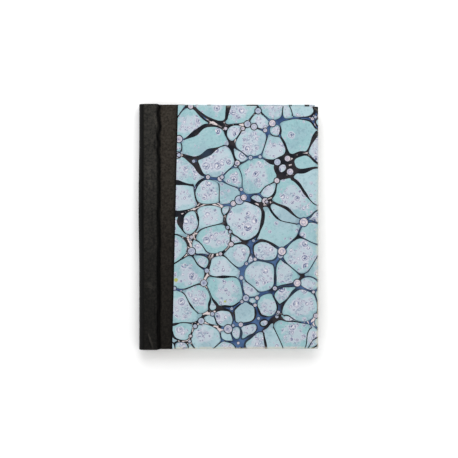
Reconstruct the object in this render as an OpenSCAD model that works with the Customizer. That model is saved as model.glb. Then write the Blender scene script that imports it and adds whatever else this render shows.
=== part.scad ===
// Hand-bound composition notebook, quarter-bound: black cloth spine, stone-marbled paper sides.
// It lies on its back cover. X runs from the spine to the fore-edge, Y from tail to head, Z up.

/* [Pages] */
// Thickness of the sewn leaves
page_stack = 11; // [7:0.5:18]
// Number of folded sections sewn together
section_count = 7; // [4:1:10]
// Depth of the hollow along the fore-edge
fore_edge_hollow = 1.6; // [0.8:0.1:3]
// Distance that the leaves stand back from the boards at head and tail
head_square = 3.5; // [2:0.1:6]
// Distance that the leaves stand back from the front board's fore-edge
fore_edge_square = 4; // [3.4:0.1:7]

/* [Boards] */
// Height of both boards at the joint
board_h = 216; // [180:1:300]
// Width of the front board
front_board_w = 139; // [125:1:160]
// How much narrower the back board was cut
back_board_short = 2.4; // [0:0.1:3]
// Thickness of each board
board_t = 2.4; // [1.6:0.1:3.2]
// How far the front board's head edge falls towards the fore-edge
front_head_fall = 1.6; // [0:0.1:2.5]
// How far the front board's tail edge rises towards the fore-edge
front_tail_rise = 0.3; // [0:0.1:2]
// How far the back board sits towards the head
back_shift = 0.8; // [0:0.1:0.8]

/* [Spine and joints] */
// How far the cloth spine stands past the boards at head and tail
spine_proud = 1.2; // [1:0.1:3]
// How far the rounded back stands out from the shoulders
spine_bulge = 4.8; // [3.6:0.1:5.6]
// Width of the stiff hinge strips beside the spine
strip_w = 11; // [8:0.5:16]
// Width of the grooves in which the covers turn
groove_w = 4.2; // [3:0.1:6]
// Depth of the grooves
groove_depth = 2.1; // [1:0.1:2.3]
// Gap where the sheets are parted on the hinge line
hinge_slit = 0.2; // [0.1:0.05:0.4]
// Thickness of the curved card inside the spine
stiffener_t = 0.8; // [0.5:0.1:1.2]
// Space between the lining and the curved card
hollow_back = 0.6; // [0.5:0.05:1]

/* [Sheets] */
// Thickness of the book cloth
cloth_t = 0.4; // [0.25:0.05:0.5]
// Width of the cloth on each board, with the part under the paper
cloth_on_board = 21; // [16:0.5:30]
// Thickness of the marbled paper
paper_t = 0.25; // [0.15:0.05:0.4]
// Distance from the board's joint edge to the paper at the head
paper_start_head = 14.2; // [8:0.1:15]
// Distance from the board's joint edge to the paper at the tail
paper_start_tail = 9.6; // [8:0.1:15]
// Width of the turned-in edges of cloth and paper
turn_in = 15; // [8:0.5:20]
// Thickness of the endpapers
endpaper_t = 0.25; // [0.15:0.05:0.35]
// Margin of turned-in paper left round the pastedowns
pastedown_margin = 4; // [2:0.5:6]
// Air between each pastedown and its flyleaf
lay_gap = 0.25; // [0.2:0.05:0.5]
// Thickness of the gauze glued over the sewn backs
mull_t = 0.4; // [0.25:0.05:0.4]
// Thickness of the kraft lining on the back of the sections
lining_t = 0.3; // [0.2:0.05:0.5]

/* [Sewing] */
// Thickness of the sewing thread
thread_d = 0.5; // [0.4:0.05:0.55]
// Number of sewing stations along the back
stations = 5; // [3:1:9]
// Distance between sewing stations
station_pitch = 42; // [20:1:48]

/* [Marbling] */
// Thickness of the veins of colour
ink_t = 0.1; // [0.08:0.02:0.2]
// Number of drops let fall on the bath
drops = 130; // [60:1:150]
// Times that each drop is fed, in turn with the others
rounds = 5; // [1:1:6]
// Radius of the smallest drop
drop_small = 3; // [2:0.5:6]
// Radius of the largest drop
drop_large = 17; // [12:0.5:20]
// How far apart the drops start, as a share of the cover
bath_spread = 0.42; // [0.38:0.01:0.6]
// Width of the thinnest vein
vein_w = 1; // [0.6:0.1:1.4]
// Choice of pattern on the front cover
front_pattern = 9; // [0:1:50]
// Choice of pattern on the back cover
back_pattern = 17; // [0:1:50]

/* [Hidden] */
$fn = 64;
fit = 0.05;                                      // allowance where sheets meet edge on
joined = 0.5;                                    // how far the pieces of one sheet run into each other
mull_short = 1;                                  // gap between the mull and the turned-in cloth
lining_short = 2;                                // how far the lining ends before the leaves
section_round = 0.2;                             // depth of the sections' rounding, as a share of the stack

// Half-heights of the layers, measured from the middle plane of the book
h_page = page_stack / 2;
h_leaf = h_page + endpaper_t;                    // outer face of the flyleaf
h_stub = h_leaf + lay_gap;                       // inner face of the endpaper's pasted half
h_past = h_stub + endpaper_t;                    // outer face of the endpaper's pasted half
h_board_in = h_past + cloth_t;                   // inner face of the boards
h_board = h_board_in + board_t;                  // outer face of the boards and the spine cloth
h_paper = h_board + paper_t;                     // outer face of the marbled paper
h_book = h_paper + ink_t;                        // outer face of the veins

// Heights along the book
page_h = board_h - 2 * head_square;
spine_h = board_h + 2 * spine_proud;

// Places across the book
book_w = spine_bulge + strip_w + groove_w + front_board_w + paper_t;
x_spine = -book_w / 2;
x_shoulder = x_spine + spine_bulge;
x_groove = x_shoulder + strip_w;
x_hinge = x_groove + groove_w / 2;
x_board = x_groove + groove_w;
x_fore_edge = x_board + front_board_w - fore_edge_square;
back_board_w = front_board_w - back_board_short;

// Arcs of the rounded spine: the cloth's, and the smaller one that the sections follow
arc_r = (h_board * h_board + spine_bulge * spine_bulge) / (2 * spine_bulge);
arc_x = x_spine + arc_r;
round_depth = page_stack * section_round;
section_r = (h_page * h_page + round_depth * round_depth) / (2 * round_depth);
mull_in_r = section_r + thread_d + fit;
mull_r = mull_in_r + mull_t;
lining_r = mull_r + lining_t;
block_x = x_spine + cloth_t + stiffener_t + hollow_back + lining_r;
section_t = page_stack / section_count;
fold_r = 0.56 * section_t;                       // a little over half, so that the folds meet in open grooves
page_back_x = block_x - sqrt(section_r * section_r - h_page * h_page);
big = 400;                                       // larger than the book, for cutting shapes

// Marbling: steps that spread the drops evenly over the bath, and points on a drop's outline
spread_step = [0.754878, 0.569840];
least_points = 11;
points_per_mm = 0.8;

// One record for each cover: width, fall at the head, rise at the tail, shift towards the head
front = [front_board_w, front_head_fall, front_tail_rise, 0];
back = [back_board_w, 0, 0, back_shift];

// A profile drawn in X and Z, carried along Y over a height
module along_spine(height) {
    rotate([90, 0, 0]) linear_extrude(height, center = true) children();
}

// Lifts a shape drawn from the middle plane to the book's place above the table
module front_side() {
    translate([0, 0, h_book]) children();
}

// The same shape turned over for the back of the book
module back_side() {
    translate([0, 0, h_book]) mirror([0, 0, 1]) children();
}

// Y of a cover's head and tail edges at a distance from the joint edge
function head_y(c, d) = board_h / 2 + c[3] - c[1] * d / c[0];
function tail_y(c, d) = -board_h / 2 + c[3] + c[2] * d / c[0];

// Outline of a board between two distances from its joint edge, grown at head and tail
module board_outline(c, from, to, grow) {
    polygon([
        [x_board + from, tail_y(c, from) - grow], [x_board + to, tail_y(c, to) - grow],
        [x_board + to, head_y(c, to) + grow], [x_board + from, head_y(c, from) + grow]
    ]);
}

// Everything on the fore-edge side of the slanting edge of the marbled paper
module paper_side(c, gap) {
    x_head = x_board + paper_start_head + gap;
    x_tail = x_board + paper_start_tail + gap;
    y_head = head_y(c, 0);
    y_tail = tail_y(c, 0);
    slope = (x_head - x_tail) / (y_head - y_tail);
    polygon([
        [x_tail + slope * (-big - y_tail), -big], [big, -big],
        [big, big], [x_head + slope * (big - y_head), big]
    ]);
}

// Section of the spine's layers: flat above and below, rounded to the left
module spine_section(centre_x, radius, half_h, to_x) {
    intersection() {
        union() {
            translate([centre_x, 0]) circle(radius, $fn = 96);
            translate([centre_x, -radius]) square([to_x - centre_x, 2 * radius]);
        }
        translate([-big, -half_h]) square([2 * big, 2 * half_h]);
        translate([-big, -big]) square([big + to_x, 2 * big]);
    }
}

// The wall between two such sections
module spine_wall(centre_x, radius, half_h, wall, to_x) {
    difference() {
        spine_section(centre_x, radius, half_h, to_x);
        spine_section(centre_x, radius - wall, half_h - wall, to_x + 1);
    }
}

// Depth of the cloth in the groove, from the shoulder (0) to the hinge line (1)
function groove_dip(t) = groove_depth * (1 - cos(180 * t)) / 2;

// Upper half of the cloth's section in the groove, on one side of the hinge line
module groove_section(side, lower) {
    steps = 8;
    span = groove_w / 2 - hinge_slit / 2;
    last = span / (groove_w / 2);
    top = [for (i = [0 : steps])
        [x_hinge + side * (groove_w / 2 - span * i / steps), h_board - groove_dip(last * i / steps)]];
    under = [for (i = [steps : -1 : 0]) [top[i][0], top[i][1] - lower]];
    flat_x = x_hinge + side * (groove_w / 2 + joined);
    polygon(concat([[flat_x, h_board]], top, under, [[flat_x, h_board - lower]]));
}

// The sewn leaves: folded sections with rounded backs and a hollow fore-edge
module page_block() {
    hollow_r = (h_page * h_page + pow(fore_edge_hollow, 2)) / (2 * fore_edge_hollow);
    color("ivory") front_side() along_spine(page_h) difference() {
        intersection() {
            union() for (i = [0 : section_count - 1]) {
                z = -h_page + section_t * (i + 0.5);
                fold_x = block_x - sqrt(pow(section_r - fold_r, 2) - z * z);
                translate([fold_x, z]) circle(fold_r, $fn = 32);
                translate([fold_x, z - section_t / 2]) square([x_fore_edge - fold_x, section_t]);
            }
            translate([-big, -h_page]) square([2 * big, page_stack]);
        }
        translate([x_fore_edge + hollow_r - fore_edge_hollow, 0]) circle(hollow_r, $fn = 96);
    }
}

// Link stitches that lie across the folds at each sewing station
module sewing_thread() {
    reach = asin((h_page - fold_r) / section_r);
    color("beige") front_side() for (i = [0 : stations - 1])
        translate([block_x, (i - (stations - 1) / 2) * station_pitch, 0]) rotate([90, 0, 0])
            rotate([0, 0, 180 - reach]) rotate_extrude(angle = 2 * reach, $fn = 96)
                translate([section_r + thread_d / 2, 0]) circle(thread_d / 2, $fn = 16);
}

// Gauze glued over the sewn backs and out under the hinge strips
module spine_mull() {
    color("oldlace") front_side() along_spine(board_h - 2 * (turn_in + mull_short))
        spine_wall(block_x, mull_r, h_past + mull_t, mull_t, x_groove);
}

// Kraft paper on the rounded part of the mull
module spine_lining() {
    reach = h_page + endpaper_t;
    color("tan") front_side() along_spine(page_h - 2 * lining_short) intersection() {
        difference() {
            translate([block_x, 0]) circle(lining_r, $fn = 96);
            translate([block_x, 0]) circle(mull_r, $fn = 96);
        }
        translate([block_x - big, -reach]) square([big, 2 * reach]);
    }
}

// Curved card that keeps the spine's shape under the cloth
module spine_stiffener() {
    inner_r = arc_r - cloth_t;
    color("peru") front_side() along_spine(board_h) intersection() {
        difference() {
            translate([arc_x, 0]) circle(inner_r, $fn = 96);
            translate([arc_x, 0]) circle(inner_r - stiffener_t, $fn = 96);
        }
        translate([x_shoulder - big, -(h_board - cloth_t)]) square([big, 2 * (h_board - cloth_t)]);
    }
}

// Book cloth round the spine, turned in at head and tail, down to both hinge lines
module spine_cloth() {
    inner_r = arc_r - cloth_t - stiffener_t;
    end_y = spine_h / 2;
    turned_y = board_h / 2 - turn_in;
    color("#2b2a29") front_side() {
        along_spine(spine_h) {
            spine_wall(arc_x, arc_r, h_board, cloth_t, x_groove);
            groove_section(-1, cloth_t);
            mirror([0, 1]) groove_section(-1, cloth_t);
        }
        for (s = [-1, 1]) {
            translate([0, s * (end_y + board_h / 2) / 2, 0]) along_spine(end_y - board_h / 2)
                cloth_thickness_end(inner_r);
            translate([0, s * (end_y + turned_y) / 2, 0]) along_spine(end_y - turned_y)
                cloth_turned_in(inner_r);
        }
    }
}

// The cloth's edge where it turns over the ends of the card and the hinge strips
module cloth_thickness_end(inner_r) {
    difference() {
        spine_section(arc_x, arc_r - fit, h_board - fit, x_groove);
        spine_section(arc_x, inner_r, h_board_in, x_groove + 1);
    }
}

// The cloth turned in against the card and under the hinge strips
module cloth_turned_in(inner_r) {
    spine_wall(arc_x, inner_r, h_board_in, cloth_t, x_groove);
}

// Stiff strip of board between the spine and a groove
module hinge_strip() {
    translate([x_shoulder, -board_h / 2, h_board_in])
        cube([strip_w, board_h, board_t - cloth_t]);
}

module front_hinge_strip() {
    color("#8a7f70") front_side() hinge_strip();
}

module back_hinge_strip() {
    color("#8a7f70") back_side() hinge_strip();
}

// Folded endpaper: the flyleaf, the fold at the spine and the part pasted under the hinge strip
module endpaper() {
    mid = (h_page + h_past) / 2;
    outer = (h_past - h_page) / 2;
    fold_x = page_back_x + outer + fit;
    along_spine(page_h) {
        difference() {
            translate([fold_x, mid]) circle(outer, $fn = 32);
            translate([fold_x, mid]) circle(outer - endpaper_t, $fn = 32);
            translate([fold_x, 0]) square([big, big]);
        }
        translate([fold_x, h_page]) square([x_fore_edge - fold_x, endpaper_t]);
        translate([fold_x, h_stub]) square([x_hinge - hinge_slit / 2 - fold_x, endpaper_t]);
    }
}

module front_endpaper() {
    color("linen") front_side() endpaper();
}

module back_endpaper() {
    color("linen") back_side() endpaper();
}

// Cover board, pressed in by the cloth's thickness where the cloth lies on it
module board(c) {
    difference() {
        translate([0, 0, h_board_in]) linear_extrude(board_t) board_outline(c, 0, c[0], 0);
        translate([0, 0, h_board - cloth_t]) linear_extrude(board_t)
            translate([x_board - 1, -big]) square([cloth_on_board + 1, 2 * big]);
    }
}

module front_board() {
    color("#8a7f70") front_side() board(front);
}

module back_board() {
    color("#8a7f70") back_side() board(back);
}

// Book cloth from the hinge line over a board's edge, turned in at head and tail
module joint_cloth(c) {
    translate([0, 0, h_board - cloth_t]) linear_extrude(cloth_t) difference() {
        board_outline(c, 0, cloth_on_board, cloth_t);
        intersection() {
            difference() {
                board_outline(c, -1, cloth_on_board + 1, 2 * cloth_t);
                board_outline(c, -1, cloth_on_board + 1, 0);
            }
            paper_side(c, 0);
        }
    }
    translate([0, 0, h_board_in - cloth_t]) linear_extrude(board_t) difference() {
        board_outline(c, 0, cloth_on_board, cloth_t);
        board_outline(c, -1, cloth_on_board + 1, 0);
        paper_side(c, -fit);
    }
    translate([0, 0, h_board_in - cloth_t]) linear_extrude(cloth_t) difference() {
        board_outline(c, 0, cloth_on_board, cloth_t);
        board_outline(c, -1, cloth_on_board + 1, -turn_in);
        paper_side(c, -fit);
    }
    translate([0, (head_y(c, 0) + tail_y(c, 0)) / 2, 0]) along_spine(board_h + 2 * cloth_t)
        groove_section(1, cloth_t);
}

module front_joint_cloth() {
    color("#2b2a29") front_side() joint_cloth(front);
}

module back_joint_cloth() {
    color("#2b2a29") back_side() joint_cloth(back);
}

// Outline of the marbled paper's outer face
module paper_outline(c) {
    intersection() {
        board_outline(c, 0, c[0] + paper_t, paper_t);
        paper_side(c, 0);
    }
}

// Marbled paper over a board, turned in at head, tail and fore-edge
module cover_paper(c) {
    translate([0, 0, h_board]) linear_extrude(paper_t) paper_outline(c);
    translate([0, 0, h_board_in - paper_t]) linear_extrude(board_t + paper_t) difference() {
        paper_outline(c);
        board_outline(c, -1, c[0], 0);
    }
    translate([0, 0, h_board_in - paper_t]) linear_extrude(paper_t) difference() {
        paper_outline(c);
        board_outline(c, -1, c[0] - turn_in, -turn_in);
    }
}

module front_cover_paper() {
    color("#a5d0d6") front_side() cover_paper(front);
}

module back_cover_paper() {
    color("#a5d0d6") back_side() cover_paper(back);
}

// Endpaper pasted on the inside of a cover, with its infill between the turned-in edges
module pastedown(c) {
    translate([0, 0, h_stub]) linear_extrude(endpaper_t) {
        board_outline(c, 0, c[0] - pastedown_margin, -head_square);
        translate([x_hinge + hinge_slit / 2, tail_y(c, 0) + head_square])
            square([x_board + joined - x_hinge - hinge_slit / 2, page_h]);
    }
    translate([0, 0, h_past]) linear_extrude(cloth_t)
        board_outline(c, 0, c[0] - turn_in - fit, -turn_in - fit);
}

module front_pastedown() {
    color("linen") front_side() pastedown(front);
}

module back_pastedown() {
    color("linen") back_side() pastedown(back);
}

// Stone marbling. Drops of pale colour are fed in turn on a dark bath. Each feeding of area pi * a
// pushes what lies at distance d from it out to sqrt(d * d + a), so that no area is lost.
function part_of(v) = v - floor(v);
function scatter(k, choice) = part_of(10000 * sin(744.26 * k + 4482.4 * choice));
function drop_radius(k, choice) = drop_small + (drop_large - drop_small) * scatter(k, choice + 3);
function pushed(p, o, a) = let (d = p - o) o + d * sqrt(1 + a / max(d * d, 0.000001));
function first_places(bath, choice) = [for (k = [0 : drops - 1]) [
    bath[0] * (part_of((k + 1) * spread_step[0]) - 0.5) + drop_small * (scatter(k, choice + 1) - 0.5),
    bath[1] * (part_of((k + 1) * spread_step[1]) - 0.5) + drop_small * (scatter(k, choice + 2) - 0.5)
]];

// The list of feedings, each with its place and the square of its radius
function feedings(places, areas, step, done) =
    step == drops * rounds ? done :
    let (k = step % drops, o = places[k], a = areas[k])
    feedings([for (i = [0 : drops - 1]) i == k ? o : pushed(places[i], o, a)], areas, step + 1,
        concat(done, [[o, a]]));
function carried(p, fed, step) =
    step == len(fed) ? p : carried(pushed(p, fed[step][0], fed[step][1]), fed, step + 1);

// A point moved towards another by half the width of the thinnest vein
function drawn_in(p, o) = p + (o - p) * min(0.5, vein_w / 2 / norm(o - p));

// The dark veins left between the drops of pale colour
module marbling(c, choice) {
    bath = bath_spread * [c[0], board_h];
    radii = [for (k = [0 : drops - 1]) drop_radius(k, choice)];
    fed = feedings(first_places(bath, choice), [for (r = radii) r * r / rounds], 0, []);
    middle = [x_board + (paper_start_tail + c[0]) / 2, c[3]];
    reach = [c[0], board_h] / 2 + [drop_large, drop_large];
    translate([0, 0, h_paper]) linear_extrude(ink_t) difference() {
        paper_outline(c);
        translate(middle) for (k = [0 : drops - 1]) {
            centre = carried(fed[k][0], fed, k + 1);
            points = least_points + round(radii[k] * points_per_mm);
            if (abs(centre[0]) < reach[0] && abs(centre[1]) < reach[1])
                polygon([for (i = [0 : points - 1]) let (turn = 360 * i / points)
                    drawn_in(carried(fed[k][0] + sqrt(fed[k][1]) * [cos(turn), sin(turn)], fed, k + 1),
                        centre)]);
        }
    }
}

module front_marbling() {
    color("#1d2536") front_side() marbling(front, front_pattern);
}

module back_marbling() {
    color("#1d2536") back_side() marbling(back, back_pattern);
}

page_block();
sewing_thread();
spine_mull();
spine_lining();
spine_stiffener();
spine_cloth();
front_hinge_strip();
back_hinge_strip();
front_endpaper();
back_endpaper();
front_board();
front_joint_cloth();
front_cover_paper();
front_marbling();
front_pastedown();
back_board();
back_joint_cloth();
back_cover_paper();
back_marbling();
back_pastedown();
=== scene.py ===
import math

import bpy
import numpy as np
from mathutils.geometry import delaunay_2d_cdt
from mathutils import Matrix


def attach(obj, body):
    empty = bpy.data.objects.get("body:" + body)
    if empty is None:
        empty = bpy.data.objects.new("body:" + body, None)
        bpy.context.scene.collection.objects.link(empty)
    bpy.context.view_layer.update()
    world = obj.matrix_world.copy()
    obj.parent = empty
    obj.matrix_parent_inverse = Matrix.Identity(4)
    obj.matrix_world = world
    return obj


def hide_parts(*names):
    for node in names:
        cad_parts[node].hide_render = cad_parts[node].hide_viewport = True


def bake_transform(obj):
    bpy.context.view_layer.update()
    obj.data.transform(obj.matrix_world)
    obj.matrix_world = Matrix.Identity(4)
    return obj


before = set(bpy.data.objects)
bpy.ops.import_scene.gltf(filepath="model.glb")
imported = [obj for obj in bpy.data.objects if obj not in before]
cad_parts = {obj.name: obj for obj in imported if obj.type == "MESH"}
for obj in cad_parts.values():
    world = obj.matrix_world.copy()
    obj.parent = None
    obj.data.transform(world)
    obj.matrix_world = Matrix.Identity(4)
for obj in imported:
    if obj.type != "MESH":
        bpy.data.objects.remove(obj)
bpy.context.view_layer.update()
print("frame loaded")

mm = 0.001
book = {  # sizes of the bound book in mm; heights are measured from its middle plane
    "middleZ": 9.4,
    "boardHeight": 216,
    "boardOuter": 9.05,
    "paperOuter": 9.4,
    "spineX": -79.625,
    "shoulderX": -74.825,
    "grooveX": -63.825,
    "hingeX": -61.725,
    "boardX": -59.625,
    "clothEndX": -38.625,
    "spineHalf": 109.2,
    "turnIn": 15,
}
front = {  # mm; the head edge falls and the tail edge rises towards the fore-edge
    "name": "front", "body": "front_cover", "side": 1, "width": 139,
    "headFall": 1.6, "tailRise": 0.3, "shift": 0, "pattern": 9,
}
back = {  # mm; square, and a little nearer to the head than the front cover
    "name": "back", "body": "back_cover", "side": -1, "width": 136.6,
    "headFall": 0, "tailRise": 0, "shift": 0.8, "pattern": 17,
}


# Camera, light and floor

stage = {  # mm, watts and shares; the camera looks straight down on the front cover
    "cameraX": 0.53,
    "cameraY": -1.86,
    "cameraAbove": 2400,
    "frameWidth": 406,
    "farthestSeen": 20000,
    "keyPlace": (0, 400, 560),
    "keySize": 500,
    "keyPower": 2.2,
    "skyStrength": 0.96,
    "lightOnBook": 1.34,  # brightness that white paper would have on the book
    "floorSize": 6000,
}


def addLight(name, place, size, power):
    # a square soft light that faces the middle of the book
    lamp = bpy.data.lights.new(name, "AREA")
    lamp.shape = "SQUARE"
    lamp.size = size * mm
    lamp.energy = power
    light = bpy.data.objects.new(name, lamp)
    bpy.context.scene.collection.objects.link(light)
    x, y, z = (v * mm for v in place)
    light.location = (x, y, z)
    light.rotation_euler = (math.atan2(math.hypot(x, y), z), 0, math.atan2(x, -y))


def setStage():
    # a white world, one soft light beyond the head, a camera straight above the book and a square floor
    scene = bpy.context.scene
    scene.view_settings.view_transform = "Standard"
    lens = bpy.data.cameras.new("bookCamera")
    lens.lens = lens.sensor_width * stage["cameraAbove"] / stage["frameWidth"]
    lens.clip_end = stage["farthestSeen"] * mm
    camera = bpy.data.objects.new("bookCamera", lens)
    scene.collection.objects.link(camera)
    above = 2 * book["middleZ"] + stage["cameraAbove"]
    camera.location = (stage["cameraX"] * mm, stage["cameraY"] * mm, above * mm)
    scene.camera = camera
    addLight("headLight", stage["keyPlace"], stage["keySize"], stage["keyPower"])
    world = bpy.data.worlds.new("studio")
    scene.world = world
    world.use_nodes = True
    sky = world.node_tree.nodes["Background"]
    sky.inputs["Color"].default_value = (1, 1, 1, 1)
    sky.inputs["Strength"].default_value = stage["skyStrength"]
    half = stage["floorSize"] / 2 * mm
    mesh = bpy.data.meshes.new("floor")
    corners = [(-half, -half, 0), (half, -half, 0), (half, half, 0), (-half, half, 0)]
    mesh.from_pydata(corners, [], [(0, 1, 2, 3)])
    floor = bpy.data.objects.new("floor", mesh)
    scene.collection.objects.link(floor)
    return floor


# Meshes

def gridFaces(rows, columns):
    # quads between the neighbouring points of a grid that is stored row after row
    index = np.arange(rows * columns).reshape(rows, columns)
    return np.stack([index[:-1, :-1], index[1:, :-1], index[1:, 1:], index[:-1, 1:]], -1).reshape(-1, 4)


def directedEdges(faces):
    # every face's edges in the order in which the face runs through them
    return np.concatenate([np.stack([f, np.roll(f, -1, axis=1)], 2).reshape(-1, 2) for f in faces])


def openEdges(faces):
    # the edges that no neighbouring face runs through the other way
    edges = directedEdges(faces)
    count = edges.max() + 1
    forward = edges[:, 0] * count + edges[:, 1]
    backward = edges[:, 1] * count + edges[:, 0]
    return edges[~np.isin(forward, backward)]


def closedSheet(outer, inner, faces):
    # the outer skin, the inner skin turned round, and a rim of quads along each open edge
    rim = openEdges(faces)
    count = len(outer)
    quads = np.stack([rim[:, 1], rim[:, 0], rim[:, 0] + count, rim[:, 1] + count], 1)
    return np.concatenate([outer, inner]), [*faces, *[f[:, ::-1] + count for f in faces], quads]


def addPiece(name, points, faces, material, lay=None, onPoints=None, onFaces=None, sharpAngle=50):
    # Points in mm become a mesh in metres; a closed skin whose volume is negative is turned round. The
    # lay is where each point of a sheet would be if the sheet were unfolded.
    triangles = np.concatenate([f[:, [0, i, i + 1]] for f in faces for i in range(1, f.shape[1] - 1)])
    a, b, c = (points[triangles[:, i]] for i in range(3))
    if (a * np.cross(b, c)).sum() < 0:
        faces = [f[:, ::-1] for f in faces]
    corners = np.concatenate([f.ravel() for f in faces])
    sizes = np.concatenate([np.full(len(f), f.shape[1]) for f in faces])
    mesh = bpy.data.meshes.new(name)
    mesh.vertices.add(len(points))
    mesh.loops.add(len(corners))
    mesh.polygons.add(len(sizes))
    mesh.vertices.foreach_set("co", (points * mm).astype(np.float32).ravel())
    mesh.loops.foreach_set("vertex_index", corners.astype(np.int32))
    mesh.polygons.foreach_set("loop_start", (np.cumsum(sizes) - sizes).astype(np.int32))
    mesh.polygons.foreach_set("use_smooth", np.ones(len(sizes), bool))
    mesh.update(calc_edges=True)
    if lay is not None:
        layer = mesh.uv_layers.new(name="sheetLay")
        layer.data.foreach_set("uv", (lay * mm)[corners].astype(np.float32).ravel())
    for domain, values in (("POINT", onPoints), ("FACE", onFaces)):
        for key, value in (values or {}).items():
            attribute = mesh.attributes.new(key, "FLOAT", domain)
            attribute.data.foreach_set("value", np.asarray(value, np.float32))
    mesh.set_sharp_from_angle(angle=math.radians(sharpAngle))
    mesh.materials.append(material)
    piece = bpy.data.objects.new(name, mesh)
    bpy.context.scene.collection.objects.link(piece)
    print(name, len(triangles), "triangles")
    return piece


def toBook(points, side):
    # heights above the middle plane become heights above the table; side -1 turns the back over
    return points * np.array([1, 1, side]) + np.array([0, 0, book["middleZ"]])


def smooth(value, low, high):
    # 0 up to low, 1 from high on, and three t squared less two t cubed between
    t = np.clip((value - low) / (high - low), 0, 1)
    return t * t * (3 - 2 * t)


def ripples(a, b, seed, longest, count=9, shorter=0.78, gain=1.6):
    # a sum of sine waves in seeded directions, each shorter wave lower, from about -1 to 1
    draw = np.random.default_rng(seed)
    total, weight = 0, 0
    for i in range(count):
        wave = longest * shorter ** i
        turn, phase = draw.uniform(0, 2 * math.pi, 2)
        across = a * math.cos(turn) + b * math.sin(turn)
        total = total + wave * np.sin(2 * math.pi * across / wave + phase)
        weight += wave
    return gain * total / weight


def columns(*values):
    # arrays and single numbers side by side
    return np.stack(np.broadcast_arrays(*values), 1)


def circle(count):
    # points at equal turns round a circle of radius 1
    turn = np.linspace(0, 2 * math.pi, count + 1)[:-1]
    return columns(np.cos(turn), np.sin(turn))


def lengthAlong(line):
    # the way along a line from its start to each of its points
    return np.concatenate([[0], np.cumsum(np.linalg.norm(np.diff(line, axis=0), axis=1))])


def pointsAt(line, along, at):
    # the points of a line at given ways along it
    return columns(*(np.interp(at, along, line[:, i]) for i in (0, 1)))


# Shader nodes

def feed(node, values):
    # a Wire is linked to its socket, and any other value is set on it
    for key, value in values.items():
        if isinstance(value, Wire):
            value.tree.links.new(value.socket, node.inputs[key])
        else:
            node.inputs[key].default_value = value


class Wire:
    # One output of a shader node. Arithmetic on it adds Math nodes to the same material.
    def __init__(self, tree, socket):
        self.tree = tree
        self.socket = socket

    def node(self, kind, settings=None, inputs=None, output=0):
        # a new node: its settings first, then the values or links of its sockets
        made = self.tree.nodes.new(kind)
        for key, value in (settings or {}).items():
            setattr(made, key, value)
        feed(made, inputs or {})
        return Wire(self.tree, made.outputs[output])

    def maths(self, operation, *values):
        # a Math node with these values in its sockets
        return self.node("ShaderNodeMath", {"operation": operation}, dict(enumerate(values)))

    def __add__(self, other):
        return self.maths("ADD", self, other)

    def __radd__(self, other):
        return self.maths("ADD", other, self)

    def __sub__(self, other):
        return self.maths("SUBTRACT", self, other)

    def __rsub__(self, other):
        return self.maths("SUBTRACT", other, self)

    def __mul__(self, other):
        return self.maths("MULTIPLY", self, other)

    def __rmul__(self, other):
        return self.maths("MULTIPLY", other, self)

    def __truediv__(self, other):
        return self.maths("DIVIDE", self, other)

    def __abs__(self):
        return self.maths("ABSOLUTE", self)


def rgb(red, green, blue):
    # a screen colour from 0 to 255 as it looks on the book, made linear and divided by the light there
    return (*[((v / 255 + 0.055) / 1.055) ** 2.4 / stage["lightOnBook"] for v in (red, green, blue)], 1)


def newMaterial(name):
    # a material, its shader and the place on the object in metres
    material = bpy.data.materials.new(name)
    material.use_nodes = True
    tree = material.node_tree
    place = Wire(tree, tree.nodes.new("ShaderNodeTexCoord").outputs["Object"])
    return material, tree.nodes["Principled BSDF"], place


def sheetLay(place):
    # the place on the unfolded sheet
    return place.node("ShaderNodeUVMap", {"uv_map": "sheetLay"})


def painted(place, name):
    # a value that the mesh carries
    return place.node("ShaderNodeAttribute", {"attribute_name": name}, {}, "Fac")


def part(place, axis):
    # one of the three numbers of a place or colour
    return place.node("ShaderNodeSeparateXYZ", {}, {0: place}, axis)


def stretched(place, scale, shift=(0, 0, 0)):
    # a place times a scale for each axis, then moved by the shift
    return place.node("ShaderNodeMapping", {}, {"Vector": place, "Scale": scale, "Location": shift})


def noise(place, scale, detail=3, roughness=0.5, distortion=0):
    # smooth noise from 0 to 1 with about scale waves to the metre
    return place.node("ShaderNodeTexNoise", {}, {
        "Vector": place, "Scale": scale, "Detail": detail, "Roughness": roughness, "Distortion": distortion})


def spots(place, scale, output="Distance"):
    # round cells seen from above: the distance to the nearest centre, or a colour for each cell
    inputs = {"Vector": place, "Scale": scale}
    return place.node("ShaderNodeTexVoronoi", {"voronoi_dimensions": "2D"}, inputs, output)


def rise(value, low, high):
    # 0 on low's side, 1 on high's side, and smooth between them
    return value.node("ShaderNodeMapRange", {"interpolation_type": "SMOOTHSTEP"}, {
        "Value": value, "From Min": low, "From Max": high})


def mixed(share, under, over):
    # the colour over the other one, by its share
    return share.node("ShaderNodeMix", {"data_type": "RGBA"}, {0: share, 6: under, 7: over}, 2)


def bump(height, distance, strength=1, onto=None):
    # a normal tilted by the slope of a height, on top of another bump if there is one
    inputs = {"Height": height, "Distance": distance, "Strength": strength}
    if onto is not None:
        inputs["Normal"] = onto
    return height.node("ShaderNodeBump", {}, inputs)


# Marbled papers

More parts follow.
